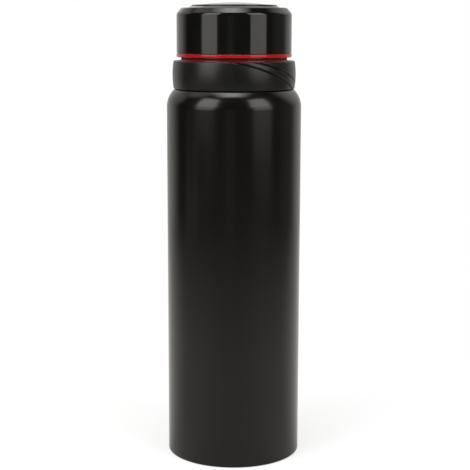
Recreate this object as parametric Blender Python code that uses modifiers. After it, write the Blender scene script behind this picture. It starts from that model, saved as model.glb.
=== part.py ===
# Vacuum flask with a screw lid, in metres, +Z up.
# The origin is the centre of the foot. The lid turns and rises about the Z axis.

from math import acos, atan2, cos, pi, radians, sin, tan

import bmesh
import bpy
from mathutils import Vector

# Clearances
FIT_GAP = 0.0003            # between faces that rest on each other
RUN_GAP = 0.0004            # between pieces that turn past each other

# Outer shell
BODY_RADIUS = 0.0400
STRAIGHT_HEIGHT = 0.2113    # foot to where the shoulder starts to curve
SHOULDER_RADIUS = 0.01435
SHELL_WALL = 0.0005
NECK_FILLET = 0.0020        # hollow curve between shoulder and neck
FOOT_EDGE = 0.0012          # rounding of the lower edge
FOOT_WIDTH = 0.0035         # ring that the flask stands on, turned in from the wall
SNAP_BEAD = 0.0004          # how far the ring that holds the collar stands proud
SNAP_HEIGHT = 0.0012

# Inner liner and vacuum space
VACUUM_GAP = 0.0032
NECK_VACUUM_GAP = 0.0008
LINER_WALL = 0.0004
LINER_FLOOR = 0.0120        # foot to the underside of the liner
LINER_CORNER = 0.0060
LIP_HEIGHT = 0.0010
FOIL_THICKNESS = 0.0002
FOIL_START = 0.0260         # foot to the foil's lower edge
FOIL_END = 0.0080           # foil's upper edge to the shoulder

# Base
COVER_WALL = 0.0005
COVER_RISE = 0.0008         # how far the base cover's panel is pressed in
COVER_RIM = 0.0045          # flat rim of the base cover
PLATE_WALL = 0.0006
PLATE_HEIGHT = 0.0066       # foot to the top of the vacuum plate
PLATE_EDGE = 0.0015
DIMPLE_RADIUS = 0.0060
DIMPLE_RISE = 0.0016
EXHAUST_RADIUS = 0.0012
BEAD_RADIUS = 0.0038
BEAD_HEIGHT = 0.0014

# Getter under the liner
GETTER_RADIUS = 0.0045
GETTER_HEIGHT = 0.0024
GETTER_EDGE = 0.0003
GETTER_OFFSET = 0.0160      # axis of the flask to the centre of the getter
STRAP_WALL = 0.0004
STRAP_WIDTH = 0.0050
STRAP_FOOT = 0.0040

# Neck collar
COLLAR_INSET = 0.00344      # body side to the widest part of the collar
COLLAR_BULGE = 0.00062      # barrel of the collar's side
COLLAR_HEIGHT = 0.0163
COLLAR_EDGE = 0.0005
COLLAR_LAND = 0.0005        # flat at the collar's lower edge
GROOVE_RADIUS = 0.00065
GROOVE_DEPTH = 0.00055
GROOVE_SWEEP = radians(74)  # turn of a groove from the collar's top edge to its lower edge
GROOVE_EASE = 0.55          # share of the fall that is steady along the sweep
GROOVE_OVERRUN = 0.12       # share of the sweep by which a groove runs off each edge
GROOVE_TURN = radians(-1.5) # front of the flask to the top end of the first groove
GROOVE_STEP = radians(20.5)   # between the two grooves of a pair
GROOVE_PAIRS = 2
CUSHION_SINK = 0.0008       # how deep the red cushion sits in the collar's top
CUSHION_EDGE = 0.0003

# Lid cup, trim ring and core
LID_INSET = 0.0060          # body side to lid side
LID_GAP = 0.0021            # collar top to the lid's lowest edge
LID_HEIGHT = 0.02875        # lowest edge to flat top
LID_WALL = 0.0005
LID_CHAMFER_WIDTH = 0.0029
LID_CHAMFER_HEIGHT = 0.00355
LID_EDGE = 0.0008
TRIM_PROUD = 0.00015
TRIM_HEIGHT = 0.00205
TRIM_WIDTH = 0.0010
TRIM_EDGE = 0.0003
TRIM_FOOT_EDGE = 0.0007     # rounding of the ring's lower edge
RIB_PROUD = 0.0004          # rib of the core that holds the trim ring
RIB_HEIGHT = 0.0006
CORE_WALL = 0.00125
CORE_WEB = 0.0015
CORE_EDGE = 0.0005
COVER_THICKNESS = 0.0012
HEADROOM = 0.0020           # inner cover to the underside of the lid's top
GASKET_HEIGHT = 0.0020
GASKET_OVERHANG = 0.0005    # how far the gasket reaches past the lip
GASKET_EDGE = 0.0005
PLUG_CLEARANCE = 0.0008
PLUG_WALL = 0.0014
PLUG_DEPTH = 0.0150
PLUG_PLATE_WALL = 0.0006
PLUG_RIM_HEIGHT = 0.0030

# Screw thread
THREAD_HEIGHT = 0.00105
THREAD_LEAD = 0.0080
THREAD_STARTS = 2
THREAD_FOOT = 0.00475       # lid's lowest edge to the lower end of the neck's thread
THREAD_HEAD = 0.0045        # lip to the upper end of the neck's thread
CORE_THREAD_FOOT = 0.00245
CORE_THREAD_LENGTH = 0.0080
RIDGE_SINK = 0.0004         # how deep a ridge is rooted in its wall
RIDGE_TIP = 0.35            # size of a ridge's ends, as a share of its full size

# Top inlay
RECESS_DEPTH = 0.0008
BEZEL_RADIUS = 0.0272
BEZEL_RIM_RADIUS = 0.0252
BEZEL_FLANK = 0.0010        # height of the sloped flank above the lid's top
BEZEL_HEIGHT = 0.0016
BEZEL_LIP = 0.0025          # width of the bezel's top
BEZEL_EDGE = 0.0003
PAD_THICKNESS = 0.0005
PAD_INSET = 0.0010
DISC_EDGE = 0.0010
DISC_RISE = 0.0018

# Facets
SEGMENTS = 36
FINE_STEPS = 6              # along a curve that shows
HIDDEN_STEPS = 4            # along a curve inside the flask
EDGE_STEPS = 2
HELIX_STEPS = 30            # points in one turn of a thread ridge
GROOVE_POINTS = 20
TAPER_POINTS = 4            # points over which a ridge runs out
SMALL_SEGMENTS = 20
EDGE_SHARE = 0.45           # most of a straight side that one rounded corner takes
MERGE_DISTANCE = 0.00001
WELD_DISTANCE = 0.000001

# Radii, worked inwards from the body's side
shoulder_r = BODY_RADIUS - SHOULDER_RADIUS
lid_radius = BODY_RADIUS - LID_INSET
core_radius = lid_radius - LID_WALL - FIT_GAP
core_bore = core_radius - CORE_WALL
thread_crest = core_bore - RUN_GAP
neck_radius = thread_crest - THREAD_HEIGHT
shell_bore = neck_radius - SHELL_WALL
liner_neck = shell_bore - NECK_VACUUM_GAP
mouth_radius = liner_neck - LINER_WALL
plug_radius = mouth_radius - PLUG_CLEARANCE
liner_inset = SHELL_WALL + VACUUM_GAP
liner_radius = BODY_RADIUS - liner_inset
liner_fillet = NECK_FILLET + liner_inset
collar_radius = BODY_RADIUS - COLLAR_INSET
collar_edge_r = collar_radius - COLLAR_BULGE
collar_bore = neck_radius + FIT_GAP
trim_radius = lid_radius + TRIM_PROUD
trim_bore = trim_radius - TRIM_WIDTH
disc_radius = BEZEL_RIM_RADIUS - BEZEL_LIP - FIT_GAP

# Heights in the lid, from its lowest edge
rib_low = (TRIM_HEIGHT - RIB_HEIGHT) / 2
rib_top = rib_low + RIB_HEIGHT
cup_low = TRIM_HEIGHT + FIT_GAP
recess_floor = LID_HEIGHT - RECESS_DEPTH
cover_top = recess_floor - LID_WALL - HEADROOM
core_top = cover_top - COVER_THICKNESS - FIT_GAP
web_low = core_top - CORE_WEB
gasket_low = web_low - FIT_GAP - GASKET_HEIGHT
lip_top = gasket_low - FIT_GAP
plug_low = lip_top - PLUG_DEPTH
plug_plate_top = plug_low - FIT_GAP


# Where a shoulder of a given bend meets a neck: the angle it turns through, and the neck's foot
def neck_joint(neck, bend, fillet):
    turn = acos(max(neck + fillet - shoulder_r, 0.0) / (bend + fillet))
    return turn, STRAIGHT_HEIGHT + (bend + fillet) * sin(turn)


# Heights on the flask, from the foot
neck_turn, neck_foot = neck_joint(neck_radius, SHOULDER_RADIUS, NECK_FILLET)
seat_radius = SHOULDER_RADIUS + FIT_GAP
seat_turn = acos((collar_edge_r - COLLAR_LAND - shoulder_r) / seat_radius)
collar_low = STRAIGHT_HEIGHT + seat_radius * sin(seat_turn)
collar_top = collar_low + COLLAR_HEIGHT
lid_low = collar_top + LID_GAP
cushion_low = collar_top - CUSHION_SINK
cushion_top = lid_low - RUN_GAP
mouth_top = lid_low + lip_top
shell_top = mouth_top - LIP_HEIGHT - FIT_GAP
plate_low = PLATE_HEIGHT - PLATE_WALL
dimple_top = PLATE_HEIGHT + DIMPLE_RISE
thread_low = lid_low + THREAD_FOOT


# Scene and helpers

for old in list(bpy.data.objects):
    bpy.data.objects.remove(old)


def new_collection(name):
    group = bpy.data.collections.new(name)
    bpy.context.scene.collection.children.link(group)
    return group


parts = new_collection("vacuum_flask")
cutters = new_collection("cutters")


def new_empty(name, height):
    empty = bpy.data.objects.new(name, None)
    empty.location.z = height
    parts.objects.link(empty)
    return empty


flask_frame = new_empty("flask_frame", 0.0)
lid_axis = new_empty("lid_axis", lid_low)
lid_axis.parent = flask_frame
bpy.context.view_layer.update()


def finish(name, colour, roughness, metallic=0.0):
    material = bpy.data.materials.new(name)
    material.use_nodes = True
    shader = material.node_tree.nodes["Principled BSDF"]
    shader.inputs["Base Color"].default_value = (*colour, 1.0)
    shader.inputs["Roughness"].default_value = roughness
    shader.inputs["Metallic"].default_value = metallic
    return material


body_paint = finish("black_body_paint", (0.012, 0.012, 0.012), 0.3)
lid_lacquer = finish("black_lid_lacquer", (0.008, 0.008, 0.008), 0.08)
collar_plastic = finish("black_collar_plastic", (0.016, 0.016, 0.016), 0.5)
core_plastic = finish("black_core_plastic", (0.02, 0.02, 0.02), 0.4)
red_silicone = finish("red_silicone", (0.46, 0.012, 0.014), 0.35)
clear_silicone = finish("milky_silicone", (0.72, 0.72, 0.70), 0.45)
bare_steel = finish("bare_steel", (0.58, 0.57, 0.55), 0.3, 1.0)
disc_steel = finish("polished_disc_steel", (0.66, 0.66, 0.66), 0.2, 1.0)
bright_foil = finish("bright_foil", (0.80, 0.80, 0.81), 0.2, 1.0)
solder_glass = finish("solder_glass", (0.05, 0.07, 0.06), 0.15)
getter_metal = finish("getter_metal", (0.25, 0.24, 0.23), 0.7, 1.0)
white_foam = finish("white_foam", (0.80, 0.79, 0.76), 0.9)
pad_foam = finish("dark_pad_foam", (0.06, 0.06, 0.06), 0.9)


def add_part(name, data, material, parent):
    part = bpy.data.objects.new(name, data)
    data.materials.append(material)
    parts.objects.link(part)
    part.parent = parent
    return part


def arc(centre, radius, start, end, steps):
    points = []
    for step in range(steps + 1):
        angle = start + (end - start) * step / steps
        points.append((centre[0] + radius * cos(angle), centre[1] + radius * sin(angle)))
    return points


# A corner of an outline, rounded between its two neighbours
def round_corner(before, corner, after, radius):
    back = Vector(before[:2]) - Vector(corner[:2])
    ahead = Vector(after[:2]) - Vector(corner[:2])
    half = back.angle(ahead) / 2
    reach = min(radius / tan(half), EDGE_SHARE * back.length, EDGE_SHARE * ahead.length)
    middle = (back.normalized() + ahead.normalized()).normalized()
    centre = Vector(corner[:2]) + middle * reach / cos(half)
    first = Vector(corner[:2]) + back.normalized() * reach - centre
    turn = first.angle_signed(Vector(corner[:2]) + ahead.normalized() * reach - centre)
    start = atan2(first.y, first.x)
    return arc(centre, first.length, start, start - turn, EDGE_STEPS)


# Corners are (radius, height) or (radius, height, rounding)
def outline(corners):
    points = []
    for index, corner in enumerate(corners):
        if len(corner) == 2:
            points.append(corner)
        else:
            after = corners[(index + 1) % len(corners)]
            points += round_corner(corners[index - 1], corner, after, corner[2])
    return points


# A turned piece. Its outline runs down the outer side, and is open where it meets the axis
def turned(name, points, material, parent, on_axis=False, segments=SEGMENTS):
    mesh = bpy.data.meshes.new(name)
    links = [(index, index + 1) for index in range(len(points) - 1)]
    if not on_axis:
        links.append((len(points) - 1, 0))
    mesh.from_pydata([(radius, 0.0, height) for radius, height in points], links, [])
    part = add_part(name, mesh, material, parent)
    screw = part.modifiers.new("Turn", "SCREW")
    screw.steps = segments
    screw.render_steps = segments
    screw.use_merge_vertices = True
    screw.merge_threshold = MERGE_DISTANCE
    return part


# A round wire as a closed mesh. Path points are (x, y, z, size), size being a share of radius
def wire_tool(name, path, radius):
    curve = bpy.data.curves.new(name, "CURVE")
    curve.dimensions = "3D"
    curve.bevel_depth = radius
    curve.bevel_resolution = 1
    curve.use_fill_caps = True
    spline = curve.splines.new("POLY")
    spline.points.add(len(path) - 1)
    for point, (x, y, z, size) in zip(spline.points, path):
        point.co = (x, y, z, 1.0)
        point.radius = size
    guide = bpy.data.objects.new(name + "_guide", curve)
    cutters.objects.link(guide)
    depsgraph = bpy.context.evaluated_depsgraph_get()
    mesh = bpy.data.meshes.new_from_object(guide.evaluated_get(depsgraph))
    bpy.data.objects.remove(guide)
    shape = bmesh.new()
    shape.from_mesh(mesh)
    bmesh.ops.remove_doubles(shape, verts=shape.verts, dist=WELD_DISTANCE)
    bmesh.ops.recalc_face_normals(shape, faces=shape.faces)
    shape.to_mesh(mesh)
    shape.free()
    tool = bpy.data.objects.new(name, mesh)
    tool.hide_render = True
    tool.display_type = "WIRE"
    cutters.objects.link(tool)
    return tool


def combine(part, tool, operation):
    boolean = part.modifiers.new(tool.name, "BOOLEAN")
    boolean.operation = operation
    boolean.object = tool


# Outline down a bottle's outside, from the neck to the straight wall, set in from the shell
def bottle_side(neck, inset, fillet, steps):
    bend = SHOULDER_RADIUS - inset
    turn, foot = neck_joint(neck, bend, fillet)
    side = arc((neck + fillet, foot), fillet, pi, pi + turn, steps // 2)
    side += arc((shoulder_r, STRAIGHT_HEIGHT), bend, turn, 0.0, steps)
    return side


# Points of a helix that starts at a height and climbs by length. Its ends sink to tip_radius
def helix(start_angle, low, length, radius, tip_radius):
    count = max(int(length / THREAD_LEAD * HELIX_STEPS), 2 * TAPER_POINTS)
    path = []
    for index in range(count + 1):
        share = index / count
        angle = start_angle + 2 * pi * share * length / THREAD_LEAD
        full = min(1.0, min(index, count - index) / TAPER_POINTS)
        reach = tip_radius + (radius - tip_radius) * full
        size = RIDGE_TIP + (1.0 - RIDGE_TIP) * full
        path.append((reach * cos(angle), reach * sin(angle), low + length * share, size))
    return path


# Outer shell with the neck's thread

def snap_bead():
    low = cushion_top + FIT_GAP
    crest = neck_radius + SNAP_BEAD
    return [(neck_radius, low + SNAP_HEIGHT), (crest, low + SNAP_HEIGHT * 2 / 3),
            (crest, low + SNAP_HEIGHT / 3), (neck_radius, low)]


def foot_corner(radius, start, end):
    return arc((BODY_RADIUS - FOOT_EDGE, FOOT_EDGE), radius, start, end, EDGE_STEPS)


ridge_radius = (THREAD_HEIGHT + RIDGE_SINK) / 2
shell_outline = [(neck_radius, shell_top)] + snap_bead()
shell_outline += bottle_side(neck_radius, 0.0, NECK_FILLET, FINE_STEPS)
shell_outline += foot_corner(FOOT_EDGE, 0.0, -pi / 2)
shell_outline += [(BODY_RADIUS - FOOT_WIDTH, 0.0), (BODY_RADIUS - FOOT_WIDTH, SHELL_WALL)]
shell_outline += foot_corner(FOOT_EDGE - SHELL_WALL, -pi / 2, 0.0)
shell_outline += reversed(bottle_side(shell_bore, SHELL_WALL, NECK_FILLET + SHELL_WALL, HIDDEN_STEPS))
shell_outline.append((shell_bore, shell_top))
outer_shell = turned("outer_shell", shell_outline, body_paint, flask_frame)

ridge_tip = neck_radius - RIDGE_SINK + ridge_radius * RIDGE_TIP
thread_length = mouth_top - THREAD_HEAD - thread_low
for start in range(THREAD_STARTS):
    ridge_path = helix(2 * pi * start / THREAD_STARTS, thread_low, thread_length,
                       thread_crest - ridge_radius, ridge_tip)
    ridge = wire_tool(f"neck_thread_{start + 1}", ridge_path, ridge_radius)
    combine(outer_shell, ridge, "UNION")


# Inner liner, a drawn cup whose neck turns out into the lip

def liner_corner(radius, start, end):
    centre = (liner_radius - LINER_CORNER, LINER_FLOOR + LINER_CORNER)
    return arc(centre, radius, start, end, EDGE_STEPS)


liner_outline = [(0.0, LINER_FLOOR + LINER_WALL)]
liner_outline += liner_corner(LINER_CORNER - LINER_WALL, -pi / 2, 0.0)
liner_outline += reversed(bottle_side(mouth_radius, liner_inset + LINER_WALL,
                                      liner_fillet + LINER_WALL, HIDDEN_STEPS))
liner_outline += outline([
    (liner_neck, shell_top),
    (mouth_radius, shell_top),
    (mouth_radius, mouth_top, LIP_HEIGHT / 2),
    (neck_radius, mouth_top, LIP_HEIGHT / 2),
    (neck_radius, mouth_top - LIP_HEIGHT),
    (liner_neck, mouth_top - LIP_HEIGHT)])[2:]
liner_outline += bottle_side(liner_neck, liner_inset, liner_fillet, HIDDEN_STEPS)
liner_outline += liner_corner(LINER_CORNER, 0.0, -pi / 2)
liner_outline.append((0.0, LINER_FLOOR))
turned("inner_liner", liner_outline, bare_steel, flask_frame, on_axis=True)

# Foil wrapped round the liner in the vacuum space, against radiated heat
foil_bore = liner_radius + FIT_GAP
foil_top = STRAIGHT_HEIGHT - FOIL_END
turned("radiation_foil", [
    (foil_bore, foil_top),
    (foil_bore + FOIL_THICKNESS, foil_top),
    (foil_bore + FOIL_THICKNESS, FOIL_START),
    (foil_bore, FOIL_START)], bright_foil, flask_frame)

# Base cover, seated on the foot ring
cover_low = SHELL_WALL + FIT_GAP
cover_radius = BODY_RADIUS - FOOT_EDGE - FIT_GAP
panel_radius = cover_radius - COVER_RIM
turned("base_cover", outline([
    (0.0, cover_low + COVER_RISE + COVER_WALL),
    (panel_radius, cover_low + COVER_RISE + COVER_WALL),
    (panel_radius + COVER_RISE, cover_low + COVER_WALL),
    (cover_radius, cover_low + COVER_WALL),
    (cover_radius, cover_low),
    (panel_radius + COVER_RISE - COVER_WALL, cover_low),
    (panel_radius - COVER_WALL, cover_low + COVER_RISE),
    (0.0, cover_low + COVER_RISE)]), bare_steel, flask_frame, on_axis=True)

# Vacuum plate, a dish welded into the shell, with a dimple and an exhaust hole
plate_radius = BODY_RADIUS - SHELL_WALL - FIT_GAP
skirt_low = cover_low + COVER_WALL + FIT_GAP
turned("vacuum_plate", outline([
    (EXHAUST_RADIUS, dimple_top),
    (DIMPLE_RADIUS, dimple_top),
    (DIMPLE_RADIUS + DIMPLE_RISE, PLATE_HEIGHT),
    (plate_radius, PLATE_HEIGHT, PLATE_EDGE),
    (plate_radius, skirt_low),
    (plate_radius - PLATE_WALL, skirt_low),
    (plate_radius - PLATE_WALL, plate_low, PLATE_EDGE - PLATE_WALL),
    (DIMPLE_RADIUS + DIMPLE_RISE - PLATE_WALL / 2, plate_low),
    (DIMPLE_RADIUS - PLATE_WALL / 2, dimple_top - PLATE_WALL),
    (EXHAUST_RADIUS, dimple_top - PLATE_WALL)]), bare_steel, flask_frame)

# Glass solder that closes the exhaust hole from below
bead_top = dimple_top - PLATE_WALL - FIT_GAP
bead_outline = [
    (0.0, dimple_top),
    (EXHAUST_RADIUS - FIT_GAP, dimple_top),
    (EXHAUST_RADIUS - FIT_GAP, bead_top)]
bead_outline += [(BEAD_RADIUS * across, bead_top - BEAD_HEIGHT * down)
                 for across, down in arc((0.0, 0.0), 1.0, 0.0, pi / 2, EDGE_STEPS)]
turned("seal_bead", bead_outline, solder_glass, flask_frame, on_axis=True, segments=SMALL_SEGMENTS)

# Getter pellet, held under the liner by a bent strap
bpy.ops.mesh.primitive_cylinder_add(
    vertices=SMALL_SEGMENTS, radius=GETTER_RADIUS, depth=GETTER_HEIGHT,
    location=(GETTER_OFFSET, 0.0, LINER_FLOOR - FIT_GAP - GETTER_HEIGHT / 2))
getter = bpy.context.object
getter.name = "getter_pellet"
getter.data.materials.append(getter_metal)
for group in list(getter.users_collection):
    group.objects.unlink(getter)
parts.objects.link(getter)
getter.parent = flask_frame
round_edge = getter.modifiers.new("Edge", "BEVEL")
round_edge.width = GETTER_EDGE

pocket = GETTER_RADIUS + FIT_GAP
drop = GETTER_HEIGHT + FIT_GAP
strap_end = pocket + STRAP_WALL + STRAP_FOOT
strap_half = [(strap_end, 0.0), (strap_end, -STRAP_WALL), (pocket + STRAP_WALL, -STRAP_WALL),
              (pocket + STRAP_WALL, -drop - STRAP_WALL)]
strap_loop = [(-pocket, 0.0), (-pocket, -drop), (pocket, -drop), (pocket, 0.0)] + strap_half
strap_loop += [(-x, y) for x, y in reversed(strap_half)]
strap_curve = bpy.data.curves.new("getter_strap", "CURVE")
strap_curve.dimensions = "2D"
strap_curve.fill_mode = "BOTH"
strap_curve.extrude = STRAP_WIDTH / 2
strap_spline = strap_curve.splines.new("POLY")
strap_spline.use_cyclic_u = True
strap_spline.points.add(len(strap_loop) - 1)
for point, (x, y) in zip(strap_spline.points, strap_loop):
    point.co = (x, y, 0.0, 1.0)
getter_strap = add_part("getter_strap", strap_curve, bare_steel, flask_frame)
getter_strap.location = (GETTER_OFFSET, 0.0, LINER_FLOOR - FIT_GAP)
getter_strap.rotation_euler.x = pi / 2


# Neck collar, a barrel seated on the shoulder, with pairs of sweeping grooves

def collar_side(height):
    half = COLLAR_HEIGHT / 2
    return collar_radius - COLLAR_BULGE * ((height - collar_low - half) / half) ** 2


collar_sides = [collar_top - COLLAR_HEIGHT * step / FINE_STEPS for step in range(FINE_STEPS + 1)]
rebate = core_bore + FIT_GAP
rebate_low = cushion_low - FIT_GAP
collar_corners = [(collar_bore, rebate_low), (rebate, rebate_low), (rebate, collar_top)]
collar_corners += [(collar_side(collar_top), collar_top, COLLAR_EDGE)]
collar_corners += [(collar_side(height), height) for height in collar_sides[1:-1]]
collar_corners += [(collar_edge_r, collar_low)]
collar_corners += arc((shoulder_r, STRAIGHT_HEIGHT), seat_radius, seat_turn, neck_turn, FINE_STEPS // 2)
collar_corners += [(collar_bore, neck_foot + FIT_GAP)]
neck_collar = turned("neck_collar", outline(collar_corners), collar_plastic, flask_frame)


def groove_path(start_angle):
    path = []
    for index in range(GROOVE_POINTS + 1):
        share = -GROOVE_OVERRUN + (1.0 + 2 * GROOVE_OVERRUN) * index / GROOVE_POINTS
        angle = start_angle + GROOVE_SWEEP * share
        fall = COLLAR_HEIGHT * (GROOVE_EASE * share + (1.0 - GROOVE_EASE) * share ** 2)
        height = collar_top - fall
        radius = collar_side(height) + GROOVE_RADIUS - GROOVE_DEPTH
        path.append((radius * sin(angle), -radius * cos(angle), height, 1.0))
    return path


for pair in range(GROOVE_PAIRS):
    for line in range(2):
        groove_start = 2 * pi * pair / GROOVE_PAIRS + GROOVE_TURN + line * GROOVE_STEP
        groove = wire_tool(f"collar_groove_{pair + 1}_{line + 1}", groove_path(groove_start), GROOVE_RADIUS)
        combine(neck_collar, groove, "DIFFERENCE")

# Red cushion in the collar's top, under the lid's edge
turned("neck_cushion", outline([
    (collar_bore, cushion_top),
    (core_bore, cushion_top, CUSHION_EDGE),
    (core_bore, cushion_low),
    (collar_bore, cushion_low)]), red_silicone, flask_frame)


# Lid cup, drawn from sheet, with a chamfered edge and a shallow recess in its top
lean = atan2(LID_CHAMFER_WIDTH, LID_CHAMFER_HEIGHT)
recess_radius = BEZEL_RADIUS + FIT_GAP
turned("lid_cup", outline([
    (0.0, recess_floor),
    (recess_radius, recess_floor),
    (recess_radius, LID_HEIGHT),
    (lid_radius - LID_CHAMFER_WIDTH, LID_HEIGHT, LID_EDGE),
    (lid_radius, LID_HEIGHT - LID_CHAMFER_HEIGHT, LID_EDGE),
    (lid_radius, cup_low),
    (lid_radius - LID_WALL, cup_low),
    (lid_radius - LID_WALL, LID_HEIGHT - LID_CHAMFER_HEIGHT - LID_WALL * tan(lean / 2)),
    (lid_radius - LID_CHAMFER_WIDTH - LID_WALL * tan(pi / 4 - lean / 2), LID_HEIGHT - LID_WALL),
    (recess_radius + LID_WALL, LID_HEIGHT - LID_WALL),
    (recess_radius + LID_WALL, recess_floor - LID_WALL),
    (0.0, recess_floor - LID_WALL)]), lid_lacquer, lid_axis, on_axis=True)

# Red trim ring below the cup, held by a rib round the core
turned("lid_trim_ring", outline([
    (trim_bore, TRIM_HEIGHT),
    (trim_radius, TRIM_HEIGHT, TRIM_EDGE),
    (trim_radius, 0.0, TRIM_FOOT_EDGE),
    (trim_bore, 0.0),
    (trim_bore, rib_low - FIT_GAP),
    (trim_bore + RIB_PROUD, rib_low - FIT_GAP),
    (trim_bore + RIB_PROUD, rib_top + FIT_GAP),
    (trim_bore, rib_top + FIT_GAP)]), red_silicone, lid_axis)

# Lid core: a threaded skirt, a web and the wall of the plug in one moulding
core_edge_z = min(core_top - CORE_EDGE, LID_HEIGHT - LID_CHAMFER_HEIGHT - LID_WALL - FIT_GAP)
core_edge_r = core_radius - (core_top - core_edge_z) * LID_CHAMFER_WIDTH / LID_CHAMFER_HEIGHT
trim_seat = trim_bore - FIT_GAP
plug_bore = plug_radius - PLUG_WALL
lid_core = turned("lid_core", outline([
    (plug_bore, core_top),
    (core_edge_r, core_top),
    (core_radius, core_edge_z),
    (core_radius, cup_low),
    (trim_seat, cup_low),
    (trim_seat, rib_top),
    (trim_seat + RIB_PROUD, rib_top),
    (trim_seat + RIB_PROUD, rib_low),
    (trim_seat, rib_low),
    (trim_seat, 0.0),
    (core_bore, 0.0),
    (core_bore, web_low),
    (plug_radius, web_low),
    (plug_radius, plug_low),
    (plug_bore, plug_low)]), core_plastic, lid_axis)

# The core's ridges run midway between the neck's
core_crest = neck_radius + RUN_GAP
core_ridge = (core_bore - core_crest + RIDGE_SINK) / 2
half_pitch = THREAD_LEAD / THREAD_STARTS / 2
core_thread_angle = 2 * pi * (CORE_THREAD_FOOT - THREAD_FOOT + half_pitch) / THREAD_LEAD
core_tip = core_bore + RIDGE_SINK - core_ridge * RIDGE_TIP
for start in range(THREAD_STARTS):
    ridge_path = helix(core_thread_angle + 2 * pi * start / THREAD_STARTS, lid_low + CORE_THREAD_FOOT,
                       CORE_THREAD_LENGTH, core_crest + core_ridge, core_tip)
    ridge = wire_tool(f"core_thread_{start + 1}", ridge_path, core_ridge)
    combine(lid_core, ridge, "UNION")

# Mouth gasket, between the lip and the web
turned("mouth_gasket", outline([
    (plug_radius + RUN_GAP, gasket_low + GASKET_HEIGHT, GASKET_EDGE),
    (neck_radius + GASKET_OVERHANG, gasket_low + GASKET_HEIGHT, GASKET_EDGE),
    (neck_radius + GASKET_OVERHANG, gasket_low, GASKET_EDGE),
    (plug_radius + RUN_GAP, gasket_low, GASKET_EDGE)]), clear_silicone, lid_axis)

# Steel plate that closes the plug from below
rim_radius = plug_bore - FIT_GAP
turned("plug_plate", outline([
    (0.0, plug_plate_top),
    (rim_radius - PLUG_PLATE_WALL, plug_plate_top),
    (rim_radius - PLUG_PLATE_WALL, plug_plate_top + PLUG_RIM_HEIGHT),
    (rim_radius, plug_plate_top + PLUG_RIM_HEIGHT),
    (rim_radius, plug_plate_top),
    (plug_radius, plug_plate_top),
    (plug_radius, plug_plate_top - PLUG_PLATE_WALL, PLUG_PLATE_WALL / 2),
    (0.0, plug_plate_top - PLUG_PLATE_WALL)]), bare_steel, lid_axis, on_axis=True)

# Foam that insulates the plug, and the cover over it
puck_radius = rim_radius - PLUG_PLATE_WALL - FIT_GAP
turned("insulation_puck", [
    (0.0, core_top),
    (puck_radius, core_top),
    (puck_radius, plug_plate_top + FIT_GAP),
    (0.0, plug_plate_top + FIT_GAP)], white_foam, lid_axis, on_axis=True)

inner_cover_radius = lid_radius - LID_CHAMFER_WIDTH - LID_WALL - FIT_GAP
turned("lid_inner_cover", [
    (0.0, cover_top),
    (inner_cover_radius, cover_top),
    (inner_cover_radius, cover_top - COVER_THICKNESS),
    (0.0, cover_top - COVER_THICKNESS)], core_plastic, lid_axis, on_axis=True)

# Bezel in the lid's recess, with a sloped flank
turned("lid_bezel", outline([
    (disc_radius + FIT_GAP, LID_HEIGHT + BEZEL_HEIGHT),
    (BEZEL_RIM_RADIUS, LID_HEIGHT + BEZEL_HEIGHT, BEZEL_EDGE),
    (BEZEL_RIM_RADIUS, LID_HEIGHT + BEZEL_FLANK),
    (BEZEL_RADIUS, LID_HEIGHT),
    (BEZEL_RADIUS, recess_floor + FIT_GAP),
    (disc_radius + FIT_GAP, recess_floor + FIT_GAP)]), lid_lacquer, lid_axis)

# Domed top disc on an adhesive pad
pad_low = recess_floor + FIT_GAP
disc_low = pad_low + PAD_THICKNESS + FIT_GAP
dome_radius = (disc_radius ** 2 + DISC_RISE ** 2) / (2 * DISC_RISE)
dome_edge = disc_low + DISC_EDGE
dome_start = acos(disc_radius / dome_radius)
turned("disc_pad", [
    (0.0, pad_low + PAD_THICKNESS),
    (disc_radius - PAD_INSET, pad_low + PAD_THICKNESS),
    (disc_radius - PAD_INSET, pad_low),
    (0.0, pad_low)], pad_foam, lid_axis, on_axis=True)
turned("lid_top_disc",
       arc((0.0, dome_edge + DISC_RISE - dome_radius), dome_radius, pi / 2, dome_start, FINE_STEPS)
       + [(disc_radius, disc_low), (0.0, disc_low)], disc_steel, lid_axis, on_axis=True)
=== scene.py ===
from math import acos, atan2, cos, pi, radians, sin, sqrt, tan

import bmesh
import bpy
from mathutils import Matrix, Vector


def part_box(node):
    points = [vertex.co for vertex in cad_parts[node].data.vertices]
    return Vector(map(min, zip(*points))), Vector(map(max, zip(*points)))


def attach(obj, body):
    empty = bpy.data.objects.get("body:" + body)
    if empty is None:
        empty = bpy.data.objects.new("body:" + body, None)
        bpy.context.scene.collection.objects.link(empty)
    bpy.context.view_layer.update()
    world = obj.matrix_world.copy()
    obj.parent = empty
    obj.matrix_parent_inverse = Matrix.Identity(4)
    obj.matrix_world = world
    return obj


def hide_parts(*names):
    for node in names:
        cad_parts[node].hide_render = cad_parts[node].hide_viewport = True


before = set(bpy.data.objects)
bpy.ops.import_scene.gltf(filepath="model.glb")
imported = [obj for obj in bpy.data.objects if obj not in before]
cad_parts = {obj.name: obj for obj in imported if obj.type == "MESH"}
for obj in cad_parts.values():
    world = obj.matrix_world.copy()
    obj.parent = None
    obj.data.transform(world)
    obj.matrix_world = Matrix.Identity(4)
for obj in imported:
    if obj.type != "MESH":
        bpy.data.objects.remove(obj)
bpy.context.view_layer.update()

print("frame loaded:", len(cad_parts), "nodes")

# Modelling helpers, all lengths in metres

sideCount = 160        # sides of a turned piece
mergeGap = 1e-6        # points this close are one point
nearGap = 2e-5         # a point this close to a place is at it


def arcPoints(centre, radius, startAngle, endAngle, steps):
    points = []
    for step in range(steps + 1):
        angle = startAngle + (endAngle - startAngle) * step / steps
        points.append((centre[0] + radius * cos(angle), centre[1] + radius * sin(angle)))
    return points


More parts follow.
